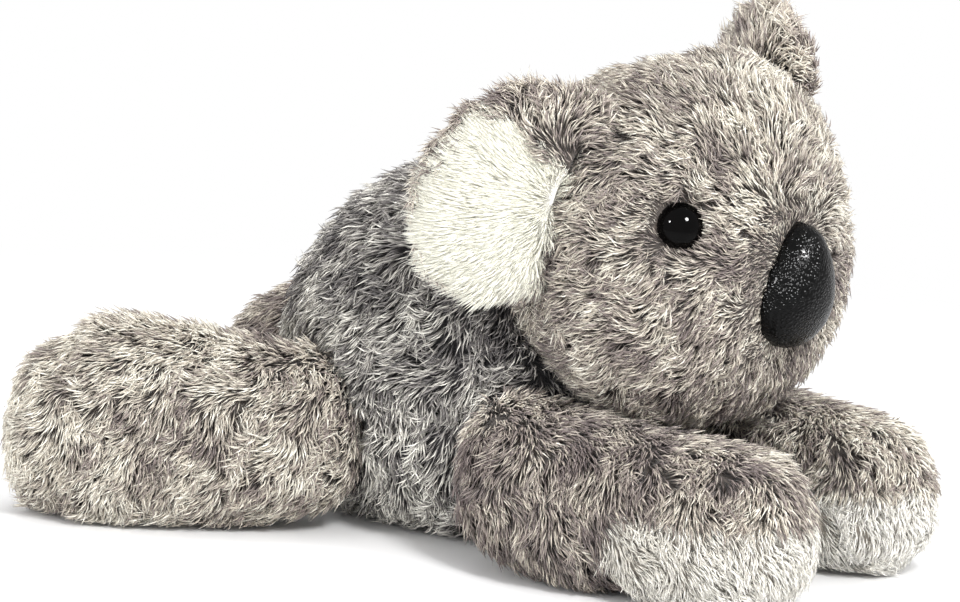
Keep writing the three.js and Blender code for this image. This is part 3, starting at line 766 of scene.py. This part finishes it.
def mapStrands(mesh):  # a strand's place on its map is its tone and the way along it
    tone, along, rail = (np.empty(len(mesh.vertices), np.float32) for _ in range(3))
    for name, values in (("tone", tone), ("along", along), ("rail", rail)):
        mesh.attributes[name].data.foreach_get("value", values)
    corner = np.empty(len(mesh.loops), np.int32)
    mesh.loops.foreach_get("vertex_index", corner)
    (uStart, uSpan), (vStart, vSpan) = strandMap["u"], strandMap["v"]
    u = uStart + uSpan * np.clip(tone, 0, 1) + (rail - 1) * strandMap["rail"]
    v = vStart + vSpan * along
    layer = mesh.uv_layers.new(name="OFBake")
    layer.data.foreach_set("uv", np.stack([u[corner], v[corner]], 1).astype(np.float32).ravel())
    mesh.attributes.remove(mesh.attributes["rail"])


def jointPlace(name):
    return np.array(next(j for j in frame["joints"] if j["name"] == name)["pos_m"])


noseMiddle = middleOf("nose")
headMiddle = middleOf("head_filling")
noseTree = treeOf(nodes["nose"].data)


comb = {  # the way that the pile lies: along the body, away from a root or the nose, and down
    "torso": np.array([0.0, 0.45, -0.9]),
    "head": np.array([0.0, 0.0, -0.45]),
    "ear": np.array([0.0, 0.0, -0.3]),
    "limb": np.array([0.0, 0.0, -0.85]),
    "limbAlong": 0.45,
    "neck": np.array([0.0, -0.2, -0.9]),
}


def flowOn(body, points):
    if body == "torso":
        return np.tile(comb["torso"], (len(points), 1))
    if body == "head":
        return unit(points - noseMiddle) + comb["head"]
    if body.startswith("ear"):
        return unit(points - jointPlace(body + "_fold")) + comb["ear"]
    end = middleOf(*bodies[body]["covers"][2:])
    heading = unit(end - jointPlace(body + "_spread"))
    return np.tile(heading * comb["limbAlong"] + comb["limb"], (len(points), 1))


def slope(values, start, span, least=0):  # 0 at the start and 1 from a span further on
    return np.clip((values - start) / span, least, 1)


tones = {  # amounts added to the strands' tone; heights and lengths are a start and a span in metres
    # The head is lighter towards the crown and darker towards the chin: painted light and painted shade.
    "head": {"amount": 0.05, "height": (-0.01, 0.04)},
    "bridge": {"amount": 0.4, "pastNose": (0.004, 0.01, 0.03), "radius": 0.028},
    "brow": {"amount": -0.16, "pastNose": (-0.016, 0.016, 0.034), "radius": 0.018},
    # The torso is darker high up and at the front under the head, and lighter towards the rump: painted
    # shade.
    "torso": {"level": 0.11, "falls": 0.2, "height": (0.05, 0.03), "rises": 0.1, "length": (0.0, 0.05)},
    "leg": {"level": 0.12, "amount": 0.03, "length": (0.02, 0.03)},
    "arm": {"amount": 0.15, "length": (0.055, 0.02)},
    # The same fur is toned differently on the two sides. The far hind leg is darker, as painted shade from
    # the body. The far arm is lighter, as painted light. The near arm is darker, as painted shade.
    "side": {"leg_left": -0.3, "leg_right": 0.0, "arm_left": 0.08, "arm_right": -0.08},
}


def shadeOn(body, points, level):
    share = np.full(len(points), level)
    tone = tones.get(body.split("_")[0])
    if body == "head":
        # Painted light towards the crown and painted shade towards the chin.
        share += tone["amount"] * slope((points - headMiddle)[:, 2], *tone["height"], -1)
        for spot in (tones["bridge"], tones["brow"]):
            gap = np.linalg.norm(points - (noseMiddle + spot["pastNose"]), axis=1)
            share += spot["amount"] * np.clip(1 - gap / spot["radius"], 0, 1)
    elif body == "torso":
        # Painted shade high up and towards the front, under the head.
        share += tone["level"] - tone["falls"] * slope(points[:, 2], *tone["height"], -1)
        share += tone["rises"] * slope(points[:, 1], *tone["length"], -1)
    elif body.startswith("leg"):
        along = points[:, 1] - jointPlace(body + "_spread")[1]
        share += tone["level"] + tone["amount"] * slope(along, *tone["length"], -1)
        # The far hind leg is darker here: painted shade from the body.
        share += tones["side"][body]
    elif body.startswith("arm"):
        far = np.linalg.norm(points - jointPlace(body + "_spread"), axis=1)
        # The far arm is lighter here, as painted light, and the near arm is darker, as painted shade.
        share += tone["amount"] * slope(far, *tone["length"], -1) + tones["side"][body]
    return share


# Share is how far off another body is felt, in strand lengths; start and floor are metres.
space = {"share": 0.8, "start": 0.0003, "downwards": -0.05, "floor": 0.0012}


# Shorter pile where another body or the floor is close.
def roomOn(points, normals, others, longest):
    room = np.ones(len(points))
    reach = longest * space["share"]
    for index, (place, normal) in enumerate(zip(points, normals)):
        start = Vector(place + normal * space["start"])
        near = reach
        for tree in others:
            hit = tree.ray_cast(start, Vector(normal), reach)
            if hit[0] is not None:
                near = min(near, hit[3])
        if normal[2] < space["downwards"]:
            near = min(near, place[2] / -normal[2] + space["floor"])
        room[index] = near / reach
    return np.clip(room, 0, 1)


# Lengths in metres; bare and rim are shares of the eye's radius.
eyeEdge = {"reach": 0.012, "bare": 0.92, "rim": 0.96, "span": 0.005, "least": 0.5, "comb": 0.25}


# Hardly any pile under an eye, and shorter pile that lies away from it round its rim.
def aroundEyes(points, room, flow):
    for name in ("eye_left", "eye_right"):
        rim, out = eyeRim(name)
        away = points - rim
        off = away - np.outer(away @ out, out)
        gap = np.linalg.norm(off, axis=1)
        near = np.linalg.norm(away, axis=1) < eye["radius"] + eyeEdge["reach"]
        share = slope(gap, eye["radius"] * eyeEdge["rim"], eyeEdge["span"])
        full = eyeEdge["least"] + (1 - eyeEdge["least"]) * share
        least = np.where(gap > eye["radius"] * eyeEdge["bare"], full, 0)
        room[near] = np.minimum(room[near], least[near])
        flow += unit(off) * np.where(near, 1 - share, 0)[:, None] * eyeEdge["comb"]


def farShare(points, tree, near, far):  # 0 close to the shape in the tree, 1 away from it
    gaps = np.array([tree.find_nearest(place)[3] for place in points])
    return slope(gaps, near, far - near)


edges = {  # lengths in metres; the rest are shares of the pile's length, except the front's flow
    "face": {"least": 0.5, "more": 0.5, "gap": (0.0015, 0.006)},
    "earBack": {"least": 0.8, "more": 0.2, "gap": (0.001, 0.006)},
    "earFront": {
        "gap": (0.001, 0.008), "fringe": 0.2, "fringeSpan": 0.015, "shorter": 0.12,
        "inner": 0.35, "innerSpan": 0.012, "whorl": np.array([0.0, 0.026, 0.0]), "flow": 0.9,
    },
    "earLeft": 1.2,
    "crest": {"height": (0.06, 0.012), "middle": 0.036, "half": 0.022, "shorter": 0.15, "upright": 0.4},
}


# Shorter pile round the nose and where an ear's back meets its front. On a front the strands lie away
# from a point near the head, with a longer fringe over the lower rim. A crest stands over the rump.
def besideOthers(cover, points, room, flow):
    if cover.startswith("face"):
        edge = edges["face"]
        room *= edge["least"] + edge["more"] * farShare(points, noseTree, *edge["gap"])
    elif cover.endswith("front_panel"):
        edge = edges["earFront"]
        back = coverTrees[cover.rsplit("_", 2)[0]][1]
        away = points - points.mean(axis=0)
        fringe = edge["fringe"] * slope(-away[:, 2], 0, edge["fringeSpan"], -1) - edge["shorter"]
        room *= 1 + fringe * (1 - farShare(points, back, *edge["gap"]))
        room *= 1 - edge["inner"] * slope(-away[:, 1], 0, edge["innerSpan"])
        flow[:] = unit(away + edge["whorl"]) * edge["flow"]
    elif cover.startswith("ear"):
        edge = edges["earBack"]
        front = coverTrees[cover.rsplit("_", 2)[0]][0]
        room *= edge["least"] + edge["more"] * farShare(points, front, *edge["gap"])
    if cover.startswith("ear_left"):
        room *= edges["earLeft"]
    if cover == "torso_back_panel":
        edge = edges["crest"]
        crest = slope(points[:, 2], *edge["height"])
        crest *= np.clip(1 - np.abs(points[:, 1] - edge["middle"]) / edge["half"], 0, 1)
        room *= 1 - edge["shorter"] * crest
        flow *= (1 - edge["upright"] * crest)[:, None]


# The grey covers wear the dark backing cloth, which is painted shade between their strands.
greyLook = {"pile": "headPile", "cloth": "headBacking", "slot": "grey_fur", "strands": "grey"}
looks = {  # one entry for each kind of cover
    "torso": {
        "pile": "torsoPile", "cloth": "torsoBacking", "slot": "back_fur", "strands": "grey", "shade": 0.5,
        "values": fur | {
            "Closest roots": 0.00053, "Length": 0.0074, "Lift": 1.1, "Swirl": 0.85, "Tuft": 0.6,
            "Tuft size": 0.0042, "Clump": 0.4, "Patch": 0.6, "Patch size": 0.012, "Speckle": 0.42,
        },
    },
    "head": greyLook | {
        "shade": 0.5,
        "values": fur | {
            "Closest roots": 0.00039, "Length": 0.0064, "Swirl size": 0.008, "Tuft size": 0.0038,
        },
    },
    "limb": greyLook | {"shade": 0.52, "values": fur | {"Closest roots": 0.00041}},
    "sole": greyLook | {
        "slot": "palm_fur", "shade": 0.58,
        "values": fur | {"Length": 0.0064, "Lift": 0.95, "Swirl": 0.75, "Patch": 0.45, "Speckle": 0.32},
    },
    "palm": {
        "pile": "palmPile", "cloth": "palmBacking", "slot": "palm_fur", "strands": "grey", "shade": 0.55,
        "values": fur | {
            "Closest roots": 0.00042, "Length": 0.0058, "Lift": 0.8, "Swirl": 0.7, "Tuft": 0.4,
            "Clump": 0.25, "Patch": 0.35, "Speckle": 0.3,
        },
    },
    "white": {
        "pile": "whitePile", "cloth": "whiteBacking", "slot": "white_fur", "strands": "silky", "shade": 0.6,
        "values": fur | {
            "Closest roots": 0.0002, "Length": 0.0072, "Length spread": 0.25, "Lift": 0.35,
            "Swirl": 0.2, "Swirl size": 0.012, "Tuft": 0.15, "Clump": 0.1, "Stray": 0.12,
            "Patch": 0.3, "Speckle": 0.3,
        },
    },
    "earBack": greyLook | {
        "shade": 0.46,
        "values": fur | {
            "Closest roots": 0.00038, "Lift": 0.95, "Swirl size": 0.008, "Tuft size": 0.0038,
            "Patch": 0.45,
        },
    },
}
looks["belly"] = looks["torso"] | {"values": looks["torso"]["values"] | {"Closest roots": 0.00064}}


def kindOf(cover):
    if cover.startswith("torso"):
        return "belly" if cover == "torso_belly_panel" else "torso"
    if cover.endswith(("palm_panel", "sole_panel")):
        return cover.split("_")[2]
    if cover.endswith("front_panel"):
        return "white"
    if cover.startswith("ear"):
        return "earBack"
    return "head" if cover.startswith(("head", "face")) else "limb"


# Cloth and pile on a sheet; layers are the pile's flow, room and shade.
def dressSheet(sheet, stem, body, look, seed, layers, cover=None):
    cloth = thickened(sheet, stem + "_cloth")
    wear(cloth, materials[look["cloth"]])
    flow, room, shade = layers
    storeVector(sheet.data, "flow", flow)
    storeFloat(sheet.data, "room", room)
    storeFloat(sheet.data, "shade", shade)
    strands = grownPile(sheet, stem + "_pile", look, seed)
    bpy.data.objects.remove(sheet)
    if cover:
        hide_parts(cover)
    for piece in (cloth, strands):
        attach(piece, body)
    print(stem, len(strands.data.vertices) // (strand["sides"] + 2), "strands")


def dressBody(name, count):
    skin = skins[name]
    owner = coverFaces(skin, coverTrees[name])
    others = [skinTrees[other] for other in skins if other != name]
    for index, cover in enumerate(bodies[name]["covers"]):
        look = looks[kindOf(cover)]
        stem = cover.replace("_panel", "")
        sheet = coverSheet(skin, owner == index, stem + "_sheet")
        points, normals = pointsOf(sheet.data), normalsOf(sheet.data)
        flow = flowOn(name, points)
        room = roomOn(points, normals, others, look["values"]["Length"])
        if name == "head":
            aroundEyes(points, room, flow)
        besideOthers(cover, points, room, flow)
        shade = shadeOn(name, points, look["shade"])
        dressSheet(sheet, stem, name, look, count + index, (flow, room, shade), cover)


neckFur = {"voxel": 0.003, "rounds": 3, "values": {"Closest roots": 0.0009, "Length": 0.0055}, "seed": 91}


# The torso's fur goes on over the neck, and shows where the head is lifted or turned.
def dressNeck():
    look = looks["torso"] | {"values": looks["torso"]["values"] | neckFur["values"]}
    sheet = joinedCopy("neck_sheet", ["neck_stuffing"])
    remeshed(sheet, neckFur["voxel"], neckFur["rounds"])
    points, normals = pointsOf(sheet.data), normalsOf(sheet.data)
    flow = np.tile(comb["neck"], (len(points), 1))
    others = [skinTrees["head"], skinTrees["torso"]]
    room = roomOn(points, normals, others, look["values"]["Length"])
    shade = np.full(len(points), look["shade"])
    dressSheet(sheet, "neck", "neck", look, neckFur["seed"], (flow, room, shade))


skinTrees = {name: treeOf(skin.data) for name, skin in skins.items()}
for count, name in enumerate(bodies):
    dressBody(name, 10 * count + 1)
dressNeck()
for skin in skins.values():
    bpy.data.objects.remove(skin)
for group in strandSets.values():
    for piece in list(group.objects):
        bpy.data.objects.remove(piece)
    bpy.data.collections.remove(group)
print("covers dressed")


def makeEye(name):
    middle, out = eyeRim(name)
    profile = [(eye["shank"], -eye["flange"] - eye["length"]), (eye["shank"], -eye["flange"])]
    narrow, full = eye["bevel"]
    profile += [(eye["radius"] * narrow, -eye["flange"]), (eye["radius"], -eye["flange"] * full)]
    for step in range(eye["rings"]):
        turn = math.pi / 2 * step / eye["rings"]
        profile.append((eye["radius"] * math.cos(turn), eye["dome"] * math.sin(turn)))
    count = eye["segments"]
    points, faces = [], []
    for radius, rise in profile:
        for spoke in range(count):
            turn = 2 * math.pi * spoke / count
            points.append((radius * math.cos(turn), radius * math.sin(turn), rise))
    for ring in range(len(profile) - 1):
        for spoke in range(count):
            a, b = ring * count + spoke, ring * count + (spoke + 1) % count
            faces.append((a, b, b + count, a + count))
    points += [(0, 0, profile[0][1]), (0, 0, eye["dome"])]
    last = (len(profile) - 1) * count
    for spoke in range(count):
        follow = (spoke + 1) % count
        faces.append((len(points) - 2, follow, spoke))
        faces.append((last + spoke, last + follow, len(points) - 1))
    mesh = bpy.data.meshes.new(name + "_dome")
    mesh.from_pydata(points, [], faces)
    shadeSmooth(mesh)
    turn = Vector(out).to_track_quat("Z", "Y").to_matrix().to_4x4()
    mesh.transform(Matrix.Translation(Vector(middle)) @ turn)
    mesh.materials.append(materials["eyeGloss"])
    piece = placed(name + "_dome", mesh)
    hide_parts(name)
    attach(piece, "head")


nose = {"voxel": 0.0007, "rounds": 24}


def makeNose():
    piece = joinedCopy("nose_moulding", ["nose"])
    remeshed(piece, nose["voxel"], nose["rounds"])
    shadeSmooth(piece.data)
    wear(piece, materials["noseSatin"])
    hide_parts("nose")
    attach(piece, "head")


makeEye("eye_left")
makeEye("eye_right")
makeNose()
for name in ("eye_left_washer", "eye_right_washer", "nose_washer"):
    nodes[name].data.materials[0] = materials["washerPlastic"]
print("eyes and nose made")


lumps = {  # metres, except the count and how fast each wave turns
    "voxel": 0.003, "rounds": 3, "drawIn": 0.0006, "size": 0.012, "depth": 0.0016,
    "waves": (3.1, 2.7, 2.9),
}


def makeInside(node, body, material):
    piece = joinedCopy(node + "_soft", [node])
    remeshed(piece, lumps["voxel"], lumps["rounds"])
    points, normals = pointsOf(piece.data), normalsOf(piece.data)
    x, y, z = (points[:, axis] / lumps["size"] * lumps["waves"][axis] for axis in range(3))
    wave = np.sin(x) * np.sin(y + 1) * np.cos(z)
    depth = lumps["drawIn"] + lumps["depth"] * (0.5 + 0.5 * wave)
    setPoints(piece.data, points - normals * depth[:, None])
    shadeSmooth(piece.data)
    wear(piece, material)
    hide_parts(node)
    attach(piece, body)


for name, body in bodies.items():
    for node in body["inside"]:
        if node.endswith("_filling"):
            makeInside(node, name, materials["fibre"])
        elif node.endswith("_bag"):
            makeInside(node, name, materials["pelletCloth"])
makeInside("neck_stuffing", "neck", materials["fibre"])
print("insides made")


stage = {  # metres
    "size": 6.0,
    "near": 0.16,  # the floor shows its own shade and the toy's shadow up to here
    "far": 0.42,  # and is plain white to the camera from here on
    "tones": [(0.3, 0xF6F6F6), (0.7, 0xFAFAFA)],
    "grain": 3.0, "roughness": 0.9, "level": 0.1,
}


def joined(tree, node, *sources):
    for source, socket in zip(sources, node.inputs):
        tree.links.new(source, socket)
    return node.outputs[0]


def makeStage():
    mesh = bpy.data.meshes.new("floor")
    half = stage["size"]
    corners = [(-half, -half, 0), (half, -half, 0), (half, half, 0), (-half, half, 0)]
    mesh.from_pydata(corners, [], [(0, 1, 2, 3)])
    floor = placed("floor", mesh)
    material, tree, shader = newMaterial("paleFloor")
    shader.inputs["Roughness"].default_value = stage["roughness"]
    shader.inputs["Specular IOR Level"].default_value = stage["level"]
    colour = ramp(tree, stage["tones"], noiseOn(tree, stage["grain"]))
    tree.links.new(colour, shader.inputs["Base Color"])
    glow = addNode(tree, "ShaderNodeEmission").outputs[0]
    place = addNode(tree, "ShaderNodeTexCoord")
    length = addNode(tree, "ShaderNodeVectorMath", operation="LENGTH")
    tree.links.new(place.outputs["Object"], length.inputs[0])
    away = smoothShare(tree, length.outputs["Value"], stage["near"], stage["far"])
    seen = joined(tree, addNode(tree, "ShaderNodeMath", operation="MULTIPLY"), away, seenRays(tree))
    both = joined(tree, addNode(tree, "ShaderNodeMixShader"), seen, shader.outputs[0], glow)
    tree.links.new(both, tree.nodes["Material Output"].inputs["Surface"])
    mesh.materials.append(material)


def seenRays(tree):  # rays from the camera, and those that gloss or glass sends on
    rays = addNode(tree, "ShaderNodeLightPath")
    total = rays.outputs["Is Camera Ray"]
    for kind in ("Is Glossy Ray", "Is Transmission Ray"):
        larger = addNode(tree, "ShaderNodeMath", operation="MAXIMUM")
        total = joined(tree, larger, total, rays.outputs[kind])
    return total


sky = {"colour": (0.98, 0.98, 1.0, 1), "strength": 0.85}


def makeWorld():
    world = bpy.data.worlds.new("studio")
    bpy.context.scene.world = world
    world.use_nodes = True
    tree = world.node_tree
    soft = tree.nodes["Background"]
    soft.inputs["Color"].default_value = sky["colour"]
    soft.inputs["Strength"].default_value = sky["strength"]
    white = addNode(tree, "ShaderNodeBackground")
    white.inputs["Color"].default_value = (1, 1, 1, 1)
    mix = addNode(tree, "ShaderNodeMixShader")
    both = joined(tree, mix, seenRays(tree), soft.outputs[0], white.outputs[0])
    tree.links.new(both, tree.nodes["World Output"].inputs["Surface"])


lamps = [  # name, place, aimed at, size, watts, whether it lights and whether glossy pieces mirror it
    ("key", (-0.5, -0.72, 0.76), (0.0, 0.0, 0.05), 0.26, 8.7, True, False),
    ("fill", (-0.85, 0.25, 0.3), (0.0, 0.0, 0.05), 0.9, 4.0, True, False),
    ("side", (0.2, -1.0, 0.35), (0.0, 0.0, 0.05), 0.9, 3.5, True, False),
    ("top", (0.1, 0.15, 1.0), (0.0, 0.0, 0.05), 0.7, 3.0, True, False),
    ("glint", (-0.93, 0.15, 0.46), (-0.02, -0.07, 0.09), 0.1, 14.0, False, True),
    ("shine", (-0.32, -0.92, 0.73), (0.0, -0.09, 0.085), 0.26, 42.0, False, True),
]


def makeLamps():
    for name, place, target, size, watts, lights, mirrored in lamps:
        data = bpy.data.lights.new(name, "AREA")
        data.shape = "DISK"
        data.size = size
        data.energy = watts
        lamp = placed(name, data)
        lamp.location = place
        lamp.visible_diffuse = lights
        lamp.visible_glossy = mirrored
        lamp.rotation_euler = (Vector(target) - Vector(place)).to_track_quat("-Z", "Y").to_euler()


view = {  # degrees, metres and the lens in millimetres
    "azimuth": -57.0,
    "elevation": 9.5,
    "roll": 3.5,
    "distance": 1.0,
    "lens": 156.225,
    "sensor": 36,
    "clip": (0.05, 20),
    "pastNeck": (0.0, 0.0371, 0.0045),  # from the neck's joint to what the camera looks at
}


def makeCamera():
    a, e, r = (math.radians(view[key]) for key in ("azimuth", "elevation", "roll"))
    back = Vector((math.sin(a) * math.cos(e), -math.cos(a) * math.cos(e), math.sin(e)))
    right = Vector((0, 0, 1)).cross(back).normalized()
    upward = back.cross(right)
    across = right * math.cos(r) + upward * math.sin(r)
    upright = upward * math.cos(r) - right * math.sin(r)
    data = bpy.data.cameras.new("camera")
    data.lens = view["lens"]
    data.sensor_width = view["sensor"]
    data.clip_start, data.clip_end = view["clip"]
    camera = placed("camera", data)
    turned = Matrix((across, upright, back)).transposed().to_4x4()
    target = Vector(jointPlace("neck_turn")) + Vector(view["pastNeck"])
    camera.matrix_world = Matrix.Translation(target + back * view["distance"]) @ turned
    bpy.context.scene.camera = camera


makeStage()
makeWorld()
makeLamps()
makeCamera()
bpy.context.scene.view_settings.view_transform = "Standard"
